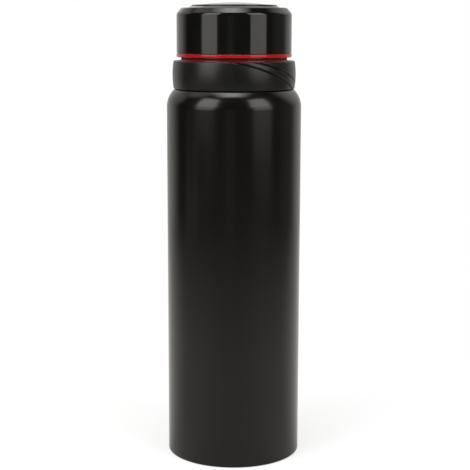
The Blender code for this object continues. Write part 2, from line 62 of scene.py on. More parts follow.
def rowsBetween(radius, low, high, count):
    return [(radius, low + (high - low) * row / count) for row in range(count + 1)]


def openPiece(piece):
    bpy.ops.object.select_all(action="DESELECT")
    piece.select_set(True)
    bpy.context.view_layer.objects.active = piece
    bpy.ops.object.mode_set(mode="EDIT")


# Starts as a circle or a disc, then pulls its edge along an outline of (radius, height)
def turnPiece(name, outline, sides=sideCount, fromDisc=False):
    radius, height = outline[0]
    bpy.ops.object.select_all(action="DESELECT")
    bpy.ops.mesh.primitive_circle_add(vertices=sides, radius=radius, location=(0, 0, height),
                                      fill_type="TRIFAN" if fromDisc else "NOTHING")
    piece = bpy.context.object
    piece.name = name
    piece.data.name = name
    bpy.ops.object.transform_apply(location=True, rotation=False, scale=False)
    bpy.ops.object.mode_set(mode="EDIT")
    bpy.ops.mesh.select_mode(type="VERT")
    editMesh = bmesh.from_edit_mesh(piece.data)
    for vertex in editMesh.verts:
        vertex.select = vertex.co.xy.length > radius / 2    # the edge, without a disc's middle
    editMesh.select_flush_mode()
    bmesh.update_edit_mesh(piece.data)
    for nextRadius, nextHeight in outline[1:]:
        bpy.ops.mesh.extrude_region_move(TRANSFORM_OT_translate={"value": (0, 0, nextHeight - height)})
        if nextRadius == 0:
            bpy.ops.mesh.merge(type="CENTER")
        elif nextRadius != radius:
            share = nextRadius / radius
            bpy.ops.transform.resize(value=(share, share, 1), center_override=(0, 0, nextHeight))
        radius, height = nextRadius, nextHeight
    bpy.ops.mesh.select_all(action="SELECT")
    bpy.ops.mesh.remove_doubles(threshold=mergeGap)
    bpy.ops.mesh.normals_make_consistent(inside=False)
    bpy.ops.object.mode_set(mode="OBJECT")
    return piece


fewSegments = 3        # of a rounding too small to show more


# Bevels whole rings of edges, each given by its (radius, height)
def roundRings(piece, rounding, rings, segments=5):
    openPiece(piece)
    bpy.ops.mesh.select_mode(type="EDGE")
    bpy.ops.mesh.select_all(action="DESELECT")
    editMesh = bmesh.from_edit_mesh(piece.data)
    for edge in editMesh.edges:
        for radius, height in rings:
            if all(abs(end.co.xy.length - radius) < nearGap and abs(end.co.z - height) < nearGap
                   for end in edge.verts):
                edge.select_set(True)
    bmesh.update_edit_mesh(piece.data)
    bpy.ops.mesh.bevel(offset=rounding, segments=segments, affect="EDGES")
    bpy.ops.mesh.select_mode(type="VERT")
    bpy.ops.object.mode_set(mode="OBJECT")


smoothAngle = radians(40)    # edges sharper than this stay sharp


def smoothPiece(piece):
    bpy.ops.object.select_all(action="DESELECT")
    piece.select_set(True)
    bpy.context.view_layer.objects.active = piece
    bpy.ops.object.shade_smooth_by_angle(angle=smoothAngle)
    bpy.ops.object.modifier_add(type="WEIGHTED_NORMAL")
    evenNormals = piece.modifiers[-1]
    evenNormals.keep_sharp = True
    bpy.ops.object.modifier_apply(modifier=evenNormals.name)


def fitPiece(piece, body, node, slot, *finishes):
    for finish in finishes:
        piece.data.materials.append(finish)
    smoothPiece(piece)
    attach(piece, body)
    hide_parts(node)
    print("made", piece.name, "with", len(piece.data.polygons), "faces")


# Finish helpers

cloudDetail = 3.0      # layers of finer blots in a cloudy pattern


def shaderOf(finish):
    return finish.node_tree.nodes["Principled BSDF"]


def newFinish(name):
    finish = bpy.data.materials.new(name)
    finish.use_nodes = True
    return finish, shaderOf(finish)


def addNode(finish, kind, **settings):
    node = finish.node_tree.nodes.new(kind)
    for setting, value in settings.items():
        setattr(node, setting, value)
    return node


def wire(finish, source, target):
    finish.node_tree.links.new(source, target)


def objectPlace(finish):
    return addNode(finish, "ShaderNodeTexCoord").outputs["Object"]


# Cloudy pattern whose blots are about one size across, stretched by a scale for each axis
def blots(finish, size, detail=2.0, stretch=(1, 1, 1)):
    mapping = addNode(finish, "ShaderNodeMapping")
    mapping.inputs["Scale"].default_value = stretch
    noise = addNode(finish, "ShaderNodeTexNoise")
    noise.inputs["Scale"].default_value = 1 / size
    noise.inputs["Detail"].default_value = detail
    wire(finish, objectPlace(finish), mapping.inputs["Vector"])
    wire(finish, mapping.outputs["Vector"], noise.inputs["Vector"])
    return noise.outputs["Fac"]


def cells(finish, size):
    voronoi = addNode(finish, "ShaderNodeTexVoronoi")
    voronoi.inputs["Scale"].default_value = 1 / size
    wire(finish, objectPlace(finish), voronoi.inputs["Vector"])
    return voronoi.outputs["Distance"]


# Fine lines that run round the flask's axis, as a lathe or a spun brush leaves them
def turnedLines(finish, width, wander=4.0, detail=3.0):
    place = objectPlace(finish)
    flat = addNode(finish, "ShaderNodeVectorMath", operation="MULTIPLY")
    flat.inputs[1].default_value = (1, 1, 0)
    reach = addNode(finish, "ShaderNodeVectorMath", operation="LENGTH")
    turn = addNode(finish, "ShaderNodeVectorMath", operation="NORMALIZE")
    around = addNode(finish, "ShaderNodeVectorMath", operation="SCALE")
    around.inputs["Scale"].default_value = wander
    climb = addNode(finish, "ShaderNodeVectorMath", operation="MULTIPLY_ADD")
    climb.inputs[1].default_value = (0, 0, 1 / width)
    outward = addNode(finish, "ShaderNodeMath", operation="DIVIDE")
    outward.inputs[1].default_value = width
    noise = addNode(finish, "ShaderNodeTexNoise", noise_dimensions="4D")
    noise.inputs["Scale"].default_value = 1.0
    noise.inputs["Detail"].default_value = detail
    wire(finish, place, flat.inputs[0])
    wire(finish, flat.outputs["Vector"], reach.inputs[0])
    wire(finish, flat.outputs["Vector"], turn.inputs[0])
    wire(finish, turn.outputs["Vector"], around.inputs[0])
    wire(finish, place, climb.inputs[0])
    wire(finish, around.outputs["Vector"], climb.inputs[2])
    wire(finish, reach.outputs["Value"], outward.inputs[0])
    wire(finish, climb.outputs["Vector"], noise.inputs["Vector"])
    wire(finish, outward.outputs["Value"], noise.inputs["W"])
    return noise.outputs["Fac"]


def colourFrom(finish, pattern, first, second, low=0.35, high=0.65):
    ramp = addNode(finish, "ShaderNodeValToRGB")
    ramp.color_ramp.elements[0].position = low
    ramp.color_ramp.elements[0].color = (*first, 1)
    ramp.color_ramp.elements[1].position = high
    ramp.color_ramp.elements[1].color = (*second, 1)
    wire(finish, pattern, ramp.inputs["Fac"])
    return ramp.outputs["Color"]


def spreadFrom(finish, pattern, least, most, low=0.3, high=0.7):
    spread = addNode(finish, "ShaderNodeMapRange")
    spread.inputs["From Min"].default_value = low
    spread.inputs["From Max"].default_value = high
    spread.inputs["To Min"].default_value = least
    spread.inputs["To Max"].default_value = most
    wire(finish, pattern, spread.inputs["Value"])
    return spread.outputs["Result"]


# Relief of a given depth in metres, laid over an earlier one where there is one
def reliefFrom(finish, pattern, depth, under=None):
    bump = addNode(finish, "ShaderNodeBump")
    bump.inputs["Strength"].default_value = 1.0
    bump.inputs["Distance"].default_value = depth
    wire(finish, pattern, bump.inputs["Height"])
    if under is not None:
        wire(finish, under, bump.inputs["Normal"])
    return bump.outputs["Normal"]


# Finishes

# Paint, lacquer, plastic, silicone or glass: soft clouds of colour and gloss, with a fine grain over them
def makeCloudy(name, look):
    finish, shader = newFinish(name)
    clouds = blots(finish, look["clouds"], cloudDetail, look.get("stretch", (1, 1, 1)))
    peel = None
    if "peelSize" in look:
        peel = reliefFrom(finish, blots(finish, look["peelSize"]), look["peelDepth"])
    grain = reliefFrom(finish, blots(finish, look["grainSize"]), look["grainDepth"], peel)
    wire(finish, colourFrom(finish, clouds, look["dark"], look["light"]), shader.inputs["Base Color"])
    wire(finish, spreadFrom(finish, clouds, look["roughLeast"], look["roughMost"]),
         shader.inputs["Roughness"])
    wire(finish, grain, shader.inputs["Normal"])
    return finish


paintLook = {"dark": (0.0036, 0.0031, 0.0030), "light": (0.0044, 0.0037, 0.0035), "clouds": 0.03,
             "roughLeast": 0.165, "roughMost": 0.205, "peelSize": 0.0009, "peelDepth": 0.0000012,
             "grainSize": 0.00012, "grainDepth": 0.0000010}
lacquerLook = {"dark": (0.0036, 0.0036, 0.0035), "light": (0.0046, 0.0045, 0.0043), "clouds": 0.012,
               "roughLeast": 0.07, "roughMost": 0.10, "grainSize": 0.0022, "grainDepth": 0.0000010}
redLook = {"dark": (0.335, 0.005, 0.006), "light": (0.39, 0.007, 0.007), "clouds": 0.006,
           "roughLeast": 0.10, "roughMost": 0.15, "grainSize": 0.0002, "grainDepth": 0.000002}
mouldedLook = {"dark": (0.013, 0.013, 0.013), "light": (0.018, 0.018, 0.018), "clouds": 0.008,
               "stretch": (1, 1, 0.3), "roughLeast": 0.36, "roughMost": 0.46,
               "grainSize": 0.00035, "grainDepth": 0.000005}
glassLook = {"dark": (0.035, 0.05, 0.042), "light": (0.065, 0.085, 0.075), "clouds": 0.0012,
             "roughLeast": 0.08, "roughMost": 0.22, "grainSize": 0.0009, "grainDepth": 0.00004}
collarLook = {"dark": (0.0050, 0.0048, 0.0046), "light": (0.0066, 0.0063, 0.0060), "clouds": 0.01,
              "roughLeast": 0.28, "roughMost": 0.33, "grainSize": 0.00028, "grainDepth": 0.000005,
              "groovePaintedShade": 0.9}


# Matt black plastic whose gloss is cut in the grooves as painted shade, darkening the groove lines
def makeCollarPlastic():
    plastic = makeCloudy("mattBlackCollar", collarLook)
    gloss = shaderOf(plastic).inputs["Specular IOR Level"]
    grooveGloss = gloss.default_value * (1 - collarLook["groovePaintedShade"])
    grooved = addNode(plastic, "ShaderNodeAttribute", attribute_name="groove")
    wire(plastic, spreadFrom(plastic, grooved.outputs["Fac"], gloss.default_value, grooveGloss, 0, 1), gloss)
    return plastic


# The cushion's silicone is red and smooth on its bead; above the bead its colour darkens upward as painted
# shade of the recess under the lid, and it turns dull there
# dark is the painted shade at the recess's top, light is the bead's own red
recessLook = {"dark": (0.08, 0.006, 0.004), "light": (0.3, 0.006, 0.006), "paintedShadeStartAt": 0.23905,
              "paintedShadeFullAt": 0.2393, "clouds": 0.003, "cloudShare": 0.15, "beadRough": 0.1, "recessRough": 0.7,
              "grainSize": 0.0008, "grainDepth": 0.000003}


def makeRecessSilicone():
    silicone, shader = newFinish("redSiliconeWithPaintedShade")
    clouds = spreadFrom(silicone, blots(silicone, recessLook["clouds"], cloudDetail), 0,
                        recessLook["cloudShare"])
    apart = addNode(silicone, "ShaderNodeSeparateXYZ")
    wire(silicone, objectPlace(silicone), apart.inputs["Vector"])
    # Painted shade: the colour darkens with height from the bead up into the recess, with random blots laid
    # over it
    climb = spreadFrom(silicone, apart.outputs["Z"], 0, 1, recessLook["paintedShadeStartAt"], recessLook["paintedShadeFullAt"])
    added = addNode(silicone, "ShaderNodeMath", operation="ADD")
    wire(silicone, climb, added.inputs[0])
    wire(silicone, clouds, added.inputs[1])
    paintedShadeAndClouds = added.outputs["Value"]
    grain = reliefFrom(silicone, blots(silicone, recessLook["grainSize"]), recessLook["grainDepth"])
    wire(silicone, colourFrom(silicone, paintedShadeAndClouds, recessLook["light"], recessLook["dark"], 0, 1),
         shader.inputs["Base Color"])
    wire(silicone, spreadFrom(silicone, paintedShadeAndClouds, recessLook["beadRough"], recessLook["recessRough"], 0, 1),
         shader.inputs["Roughness"])
    wire(silicone, grain, shader.inputs["Normal"])
    return silicone


milkyLook = {"dark": (0.66, 0.66, 0.63), "light": (0.74, 0.74, 0.72), "clouds": 0.005,
             "roughLeast": 0.40, "roughMost": 0.50, "grainSize": 0.0003, "grainDepth": 0.000003,
             "glow": 0.25, "glowReach": (0.0015, 0.0014, 0.0012)}


def makeMilkySilicone():
    silicone = makeCloudy("milkySilicone", milkyLook)
    shader = shaderOf(silicone)
    shader.inputs["Subsurface Weight"].default_value = milkyLook["glow"]
    shader.inputs["Subsurface Radius"].default_value = milkyLook["glowReach"]
    shader.inputs["Subsurface Scale"].default_value = 1.0
    return silicone


# Bare metal with lines from turning, brushing or spinning
def makeTurnedMetal(name, look):
    metal, shader = newFinish(name)
    shader.inputs["Metallic"].default_value = 1.0
    lines = turnedLines(metal, look["lineWidth"])
    clouds = blots(metal, look["clouds"], cloudDetail)
    wire(metal, colourFrom(metal, clouds, look["dark"], look["light"]), shader.inputs["Base Color"])
    wire(metal, spreadFrom(metal, lines, look["roughLeast"], look["roughMost"]), shader.inputs["Roughness"])
    wire(metal, reliefFrom(metal, lines, look["lineDepth"]), shader.inputs["Normal"])
    return metal


steelLook = {"dark": (0.54, 0.53, 0.51), "light": (0.62, 0.61, 0.59), "clouds": 0.012,
             "roughLeast": 0.22, "roughMost": 0.38, "lineWidth": 0.00025, "lineDepth": 0.0000025}
discLook = {"dark": (0.62, 0.62, 0.62), "light": (0.69, 0.69, 0.69), "clouds": 0.01,
            "roughLeast": 0.16, "roughMost": 0.26, "lineWidth": 0.00022, "lineDepth": 0.0000012}
foilLook = {"dark": (0.76, 0.76, 0.77), "light": (0.84, 0.84, 0.85), "crinkle": 0.004,
            "crinkleDepth": 0.00025, "crinkleEnd": 0.7, "roughLeast": 0.12, "roughMost": 0.24}


def makeFoil():
    foil, shader = newFinish("brightFoil")
    shader.inputs["Metallic"].default_value = 1.0
    crinkle = cells(foil, foilLook["crinkle"])
    end = foilLook["crinkleEnd"]
    wire(foil, colourFrom(foil, crinkle, foilLook["dark"], foilLook["light"], 0, end),
         shader.inputs["Base Color"])
    wire(foil, spreadFrom(foil, crinkle, foilLook["roughLeast"], foilLook["roughMost"], 0, end),
         shader.inputs["Roughness"])
    wire(foil, reliefFrom(foil, crinkle, foilLook["crinkleDepth"]), shader.inputs["Normal"])
    return foil


poreDark, poreLight = 0.05, 0.6        # distances from a cell's middle, as shares of its size
cloudCells = 8                         # cells across a cloud


# Pressed powder and foams, all made of small cells
def makeCellular(name, look):
    cellular, shader = newFinish(name)
    shader.inputs["Metallic"].default_value = look["metallic"]
    pores = cells(cellular, look["cell"])
    clouds = blots(cellular, look["cell"] * cloudCells, cloudDetail)
    wire(cellular, colourFrom(cellular, pores, look["dark"], look["light"], poreDark, poreLight),
         shader.inputs["Base Color"])
    wire(cellular, spreadFrom(cellular, clouds, look["roughLeast"], look["roughMost"]),
         shader.inputs["Roughness"])
    wire(cellular, reliefFrom(cellular, pores, look["depth"]), shader.inputs["Normal"])
    return cellular


getterLook = {"dark": (0.16, 0.155, 0.15), "light": (0.30, 0.29, 0.28), "cell": 0.00035, "depth": 0.00006,
              "roughLeast": 0.62, "roughMost": 0.80, "metallic": 1.0}
puckLook = {"dark": (0.66, 0.65, 0.61), "light": (0.84, 0.83, 0.80), "cell": 0.0011, "depth": 0.0003,
            "roughLeast": 0.84, "roughMost": 0.95, "metallic": 0.0}
padLook = {"dark": (0.03, 0.03, 0.03), "light": (0.075, 0.075, 0.075), "cell": 0.0005, "depth": 0.0001,
           "roughLeast": 0.85, "roughMost": 0.95, "metallic": 0.0}

bodyPaint = makeCloudy("satinBlackPaint", paintLook)
lidLacquer = makeCloudy("glossBlackLacquer", lacquerLook)
bezelGloss = makeCloudy("glossBlackBezel", lacquerLook)
collarPlastic = makeCollarPlastic()
redSilicone = makeCloudy("smoothRedSilicone", redLook)
recessSilicone = makeRecessSilicone()
corePlastic = makeCloudy("mouldedBlackPlastic", mouldedLook)
milkySilicone = makeMilkySilicone()
bareSteel = makeTurnedMetal("turnedSteel", steelLook)
discSteel = makeTurnedMetal("satinDiscSteel", discLook)
brightFoil = makeFoil()
solderGlass = makeCloudy("darkSolderGlass", glassLook)
getterMetal = makeCellular("sinteredGetter", getterLook)
whiteFoam = makeCellular("rigidWhiteFoam", puckLook)
padFoam = makeCellular("adhesivePadFoam", padLook)
print("finishes made")

# Places that several pieces share, read from the frame
_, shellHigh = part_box("outer_shell")
coreLow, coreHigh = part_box("lid_core")
bodyRadius = shellHigh.x
neckTop = shellHigh.z
lidLow = coreLow.z

# Screw thread, on the neck's outside and the core's inside

thread = {"lead": 0.008, "starts": 2, "height": 0.00105, "ridgeRadius": 0.000725, "fade": 0.0010,
          "neckLow": 0.00475, "neckLength": 0.0106, "coreLow": 0.00245, "coreLength": 0.0080, "rows": 84}
threadMargin = 0.0008      # rows start this far below a ridge's end and stop this far above it


# Pushes a wall out, or in where side is -1, along ridges that climb round it
def raiseThread(piece, wallRadius, side, low, length, startAngle):
    pitch = thread["lead"] / thread["starts"]
    for vertex in piece.data.vertices:
        radius = vertex.co.xy.length
        if abs(radius - wallRadius) > nearGap:
            continue
        turned = (atan2(vertex.co.y, vertex.co.x) - startAngle) / (2 * pi)
        above = vertex.co.z - low - thread["lead"] * turned
        apart = above - pitch * round(above / pitch)       # height above the nearest ridge
        along = vertex.co.z - apart - low                  # how far that ridge has climbed here
        full = min(1.0, along / thread["fade"], (length - along) / thread["fade"])
        if full <= 0 or abs(apart) >= thread["ridgeRadius"]:
            continue
        rise = sqrt(thread["ridgeRadius"] ** 2 - apart ** 2) + thread["height"] - thread["ridgeRadius"]
        share = 1 + side * max(rise, 0) * full / radius
        vertex.co.x *= share
        vertex.co.y *= share


# Flask body: wall, shoulder and neck in one drawn shell

flaskBody = {"straightHeight": 0.2113, "shoulderRadius": 0.01435, "neckRadius": 0.0305, "neckFillet": 0.002,
             "wall": 0.0005, "footEdge": 0.0012, "footWidth": 0.0035, "beadAboveLid": -0.0001,
             "beadHeight": 0.0012, "beadProud": 0.0004, "paintTop": 0.2422, "footSteps": 8,
             "shoulderSteps": 24, "insideSteps": 9, "insideFootSteps": 4}


# Outline from the top of a straight wall up to the neck, set in from the body's side
def bottleSide(neck, inset, fillet, steps):
    bend = flaskBody["shoulderRadius"] - inset
    middle = bodyRadius - flaskBody["shoulderRadius"]
    turn = acos((neck + fillet - middle) / (bend + fillet))
    neckFoot = flaskBody["straightHeight"] + (bend + fillet) * sin(turn)
    side = arcPoints((middle, flaskBody["straightHeight"]), bend, 0, turn, steps)
    return side + arcPoints((neck + fillet, neckFoot), fillet, pi + turn, pi, steps // 3)


def makeFlaskBody():
    neck = flaskBody["neckRadius"]
    wall = flaskBody["wall"]
    footEdge = flaskBody["footEdge"]
    footInside = bodyRadius - flaskBody["footWidth"]
    footCentre = (bodyRadius - footEdge, footEdge)
    bead = lidLow + flaskBody["beadAboveLid"]
    third = flaskBody["beadHeight"] / 3
    threadLow = lidLow + thread["neckLow"]
    fillet = flaskBody["neckFillet"]
    outline = [(footInside, wall), (footInside, 0)]
    outline += arcPoints(footCentre, footEdge, -pi / 2, 0, flaskBody["footSteps"])
    outline += bottleSide(neck, 0, fillet, flaskBody["shoulderSteps"])
    outline += [(neck, bead), (neck + flaskBody["beadProud"], bead + third)]
    outline += [(neck + flaskBody["beadProud"], bead + 2 * third), (neck, bead + 3 * third)]
    outline += rowsBetween(neck, threadLow - threadMargin, threadLow + thread["neckLength"] + threadMargin,
                           thread["rows"])
    outline += [(neck, neckTop), (neck - wall, neckTop)]
    outline += reversed(bottleSide(neck - wall, wall, fillet + wall, flaskBody["insideSteps"]))
    outline += arcPoints(footCentre, footEdge - wall, 0, -pi / 2, flaskBody["insideFootSteps"])
    outline.append(outline[0])
    body = turnPiece("flaskBody", outline)
    raiseThread(body, neck, 1, threadLow, thread["neckLength"], 0)
    fitPiece(body, "flask", "outer_shell", "body_paint", bodyPaint, bareSteel)
    for face in body.data.polygons:
        facesAxis = face.normal.xy.dot(face.center.xy) < -mergeGap
        if face.center.z > flaskBody["paintTop"] or facesAxis:
            face.material_index = 1        # the neck above its bead and the inside are bare


makeFlaskBody()

# Liner: a drawn steel cup whose neck turns out into the lip

liner = {"gap": 0.0037, "wall": 0.0004, "corner": 0.006, "neckRadius": 0.0292, "lipHeight": 0.001,
         "lipRounding": 0.0004, "fillet": 0.0057, "cornerSteps": 8, "shoulderSteps": 18}


def makeLiner():
    low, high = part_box("inner_liner")
    outerRadius = high.x
    wall = liner["wall"]
    mouth = liner["neckRadius"] - wall
    lipRadius = flaskBody["neckRadius"]
    cornerCentre = (outerRadius - liner["corner"], low.z + liner["corner"])
    lipLow = high.z - liner["lipHeight"]
    steps = liner["shoulderSteps"]
    outline = arcPoints(cornerCentre, liner["corner"], -pi / 2, 0, liner["cornerSteps"])
    outline += bottleSide(liner["neckRadius"], liner["gap"], liner["fillet"], steps)
    outline += [(liner["neckRadius"], lipLow), (lipRadius, lipLow), (lipRadius, high.z), (mouth, high.z)]
    outline += reversed(bottleSide(mouth, liner["gap"] + wall, liner["fillet"] + wall, steps))
    outline += arcPoints(cornerCentre, liner["corner"] - wall, 0, -pi / 2, liner["cornerSteps"])
    outline.append((0, low.z + wall))
    cup = turnPiece("steelLiner", outline, fromDisc=True)
    roundRings(cup, liner["lipRounding"], [(lipRadius, lipLow), (lipRadius, high.z), (mouth, high.z)])
    fitPiece(cup, "flask", "inner_liner", "bare_steel", bareSteel)


makeLiner()

# Base cover, with a pressed-in panel

baseCover = {"rimWidth": 0.0045, "pressed": 0.0008, "wall": 0.0005, "rounding": 0.0003}


def makeBaseCover():
    low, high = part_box("base_cover")
    wall = baseCover["wall"]
    panel = high.x - baseCover["rimWidth"]
    step = panel + baseCover["pressed"]
    panelLow = low.z + baseCover["pressed"]
    outline = [(panel - wall, panelLow), (step - wall, low.z), (high.x, low.z), (high.x, low.z + wall),
               (step, low.z + wall), (panel, high.z), (0, high.z)]
    cover = turnPiece("baseCover", outline, fromDisc=True)
    roundRings(cover, baseCover["rounding"], [(panel - wall, panelLow), (step - wall, low.z)])
    fitPiece(cover, "flask", "base_cover", "bare_steel", bareSteel)


makeBaseCover()

# Neck collar: a barrel on the shoulder, with pairs of grooves that sweep down round it

# Rows of points stop edgeRoom roundings short of an edge, and grooves reach sideDepth roundings in
collar = {"height": 0.0163, "bulge": 0.00062, "boreGap": 0.0003, "rebateRadius": 0.03225,
          "rebateDepth": 0.0011, "topEdge": 0.0005, "lowEdge": 0.00025, "land": 0.0005, "seatGap": 0.0003,
          "sides": 360, "rows": 44, "seatSteps": 6, "edgeRoom": 1.5, "sideDepth": 2,
          "grooveStarts": (-1.5, 19, 178.5, 199), "grooveSweep": 74, "grooveEase": 0.55,
          "grooveRadius": 0.00065, "grooveDepth": 0.00055}


def makeCollar():
    low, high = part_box("neck_collar")
    top = low.z + collar["height"]
    half = collar["height"] / 2
    edge = high.x - collar["bulge"]
    bore = flaskBody["neckRadius"] + collar["boreGap"]
    middle = bodyRadius - flaskBody["shoulderRadius"]
    seat = flaskBody["shoulderRadius"] + collar["seatGap"]
    seatTurn = acos((edge - collar["land"] - middle) / seat)
    innerTurn = acos((collar["rebateRadius"] - middle) / seat)
    rebate = top - collar["rebateDepth"]

    def sideRadius(height):
        return high.x - collar["bulge"] * ((height - low.z - half) / half) ** 2

    outline = [(bore, rebate), (collar["rebateRadius"], rebate), (collar["rebateRadius"], top), (edge, top)]
    firstRow = top - collar["edgeRoom"] * collar["topEdge"]
    lastRow = low.z + collar["edgeRoom"] * collar["lowEdge"]
    outline += [(sideRadius(height), height)
                for _, height in rowsBetween(0, firstRow, lastRow, collar["rows"])]
    outline += [(edge, low.z)]
    outline += arcPoints((middle, flaskBody["straightHeight"]), seat, seatTurn, innerTurn,
                         collar["seatSteps"])
    outline += [(bore, outline[-1][1] + collar["rebateRadius"] - bore), outline[0]]
    barrel = turnPiece("neckCollar", outline, collar["sides"])
    roundRings(barrel, collar["topEdge"], [(edge, top)])
    roundRings(barrel, collar["lowEdge"], [(edge, low.z)], fewSegments)
    ease = collar["grooveEase"]
    sweep = radians(collar["grooveSweep"])
    grooveShare = barrel.data.attributes.new("groove", "FLOAT", "POINT")
    for vertex in barrel.data.vertices:
        fall = (top - vertex.co.z) / collar["height"]
        share = (sqrt(ease ** 2 + 4 * (1 - ease) * fall) - ease) / (2 * (1 - ease))
        radius = vertex.co.xy.length
        slope = atan2(collar["height"] * (ease + 2 * (1 - ease) * share), sweep * radius)
        bearing = atan2(vertex.co.x, -vertex.co.y)
        if radius > edge - collar["sideDepth"] * collar["topEdge"]:
            for start in collar["grooveStarts"]:
                apart = (bearing - radians(start) + pi) % (2 * pi) - pi
                across = abs(apart) * radius * sin(slope)
                if across < collar["grooveRadius"]:
                    sunk = sqrt(collar["grooveRadius"] ** 2 - across ** 2)
                    sunk = max(sunk + collar["grooveDepth"] - collar["grooveRadius"], 0)
                    grooveShare.data[vertex.index].value = sunk / collar["grooveDepth"]
                    vertex.co.x *= 1 - sunk / radius
                    vertex.co.y *= 1 - sunk / radius
        vertex.co.rotate(Matrix.Rotation(sweep * share, 3, "Z"))
    fitPiece(barrel, "flask", "neck_collar", "collar_plastic", collarPlastic)


makeCollar()

# Red cushion in the collar's top, under the lid's edge

cushion = {"boreGap": 0.0003, "beadHeight": 0.0014, "setBack": 0.0006, "beadEdge": 0.0004, "edge": 0.0001}


def makeCushion():
    low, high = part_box("neck_cushion")
    bore = flaskBody["neckRadius"] + cushion["boreGap"]
    bead = low.z + cushion["beadHeight"]
    inner = high.x - cushion["setBack"]
    outline = [(bore, low.z), (high.x, low.z), (high.x, bead), (inner, bead), (inner, high.z), (bore, high.z),
               (bore, low.z)]
    ring = turnPiece("neckCushion", outline)
    roundRings(ring, cushion["beadEdge"], [(high.x, bead)])
    roundRings(ring, cushion["edge"], [(inner, high.z)])
    fitPiece(ring, "flask", "neck_cushion", "red_silicone", recessSilicone)


makeCushion()

# Lid cup: drawn shell with a chamfered edge and a shallow recess in its top

lidCup = {"wall": 0.0005, "chamferWidth": 0.0029, "chamferHeight": 0.00355, "edge": 0.0008,
          "recessRadius": 0.0275, "recessDepth": 0.0008, "lowEdge": 0.00015, "recessEdge": 0.0002,
          "edgeSegments": 6}


def makeLidCup():
    low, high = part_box("lid_cup")
    wall = lidCup["wall"]
    top = high.z
    side = high.x
    floor = top - lidCup["recessDepth"]
    lean = atan2(lidCup["chamferWidth"], lidCup["chamferHeight"])
    shelf = side - lidCup["chamferWidth"]
    chamferLow = top - lidCup["chamferHeight"]
    recess = lidCup["recessRadius"]
    outline = [(recess, floor), (recess, top), (shelf, top), (side, chamferLow), (side, low.z),
               (side - wall, low.z), (side - wall, chamferLow - wall * tan(lean / 2)),
               (shelf - wall * tan(pi / 4 - lean / 2), top - wall), (recess + wall, top - wall),
               (recess + wall, floor - wall), (0, floor - wall)]
    cup = turnPiece("lidCup", outline, fromDisc=True)
    roundRings(cup, lidCup["edge"], [(shelf, top), (side, chamferLow)], lidCup["edgeSegments"])
    roundRings(cup, lidCup["lowEdge"], [(side, low.z)], fewSegments)
    roundRings(cup, lidCup["recessEdge"], [(recess, top)], fewSegments)
    fitPiece(cup, "lid", "lid_cup", "lid_lacquer", lidLacquer)


makeLidCup()

# Red trim ring below the cup, held by a rib round the core

trimRing = {"width": 0.001, "edge": 0.0003, "footEdge": 0.0007, "ribProud": 0.0004, "ribLow": 0.000725,
            "ribTop": 0.001325, "ribGap": 0.0003}


def makeTrimRing():
    low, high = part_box("lid_trim_ring")
    bore = high.x - trimRing["width"]
    grooveLow = low.z + trimRing["ribLow"] - trimRing["ribGap"]
    grooveTop = low.z + trimRing["ribTop"] + trimRing["ribGap"]
    grooveFloor = bore + trimRing["ribProud"]
    outline = [(bore, low.z), (high.x, low.z), (high.x, high.z), (bore, high.z), (bore, grooveTop),
               (grooveFloor, grooveTop), (grooveFloor, grooveLow), (bore, grooveLow), (bore, low.z)]
    ring = turnPiece("redTrimRing", outline)
    roundRings(ring, trimRing["edge"], [(high.x, high.z)])
    roundRings(ring, trimRing["footEdge"], [(high.x, low.z)])
    fitPiece(ring, "lid", "lid_trim_ring", "red_silicone", redSilicone)


makeTrimRing()

# Lid core: threaded skirt, web and plug wall in one moulding

lidCore = {"boreRadius": 0.03195, "webHeight": 0.0015, "plugRadius": 0.028, "plugBore": 0.0266,
           "plugLow": 0.00485, "seatRadius": 0.03285, "seatTop": 0.00235, "shoulder": 0.0005,
           "plugEdge": 0.0004, "edgeSegments": 4}


def makeLidCore():
    side = coreHigh.x
    top = coreHigh.z
    bore = lidCore["boreRadius"]
    seat = lidCore["seatRadius"]
    seatTop = lidLow + lidCore["seatTop"]
    rib = seat + trimRing["ribProud"]
    ribLow = lidLow + trimRing["ribLow"]
    ribTop = lidLow + trimRing["ribTop"]
    web = top - lidCore["webHeight"]
    plug = lidCore["plugRadius"]
    plugLow = lidLow + lidCore["plugLow"]
    threadLow = lidLow + thread["coreLow"]
    shoulder = lidCore["shoulder"]
    outline = [(lidCore["plugBore"], top), (side - shoulder, top), (side, top - shoulder), (side, seatTop),
               (seat, seatTop), (seat, ribTop), (rib, ribTop), (rib, ribLow), (seat, ribLow), (seat, lidLow),
               (bore, lidLow)]
    outline += rowsBetween(bore, threadLow - threadMargin, threadLow + thread["coreLength"] + threadMargin,
                           thread["rows"])
    outline += [(bore, web), (plug, web), (plug, plugLow), (lidCore["plugBore"], plugLow)]
    outline.append(outline[0])
    core = turnPiece("lidCore", outline)
    roundRings(core, lidCore["plugEdge"], [(plug, plugLow)], lidCore["edgeSegments"])
    startAngle = 2 * pi * (thread["coreLow"] - thread["neckLow"] + thread["lead"] / thread["starts"] / 2)
    startAngle /= thread["lead"]           # midway between the neck's ridges
    raiseThread(core, bore, -1, threadLow, thread["coreLength"], startAngle)
    fitPiece(core, "lid", "lid_core", "core_plastic", corePlastic)


makeLidCore()

# Mouth gasket on the web, plate under the plug

mouthGasket = {"width": 0.0026, "edge": 0.0006}


def makeMouthGasket():
    low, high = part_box("mouth_gasket")
    bore = high.x - mouthGasket["width"]
    outline = [(bore, low.z), (high.x, low.z), (high.x, high.z), (bore, high.z), (bore, low.z)]
    gasket = turnPiece("mouthGasket", outline)
    roundRings(gasket, mouthGasket["edge"], outline[:4])
    fitPiece(gasket, "seal", "mouth_gasket", "milky_silicone", milkySilicone)


makeMouthGasket()

plugPlate = {"wall": 0.0006, "rimGap": 0.0003, "edge": 0.00025, "edgeSegments": 4}


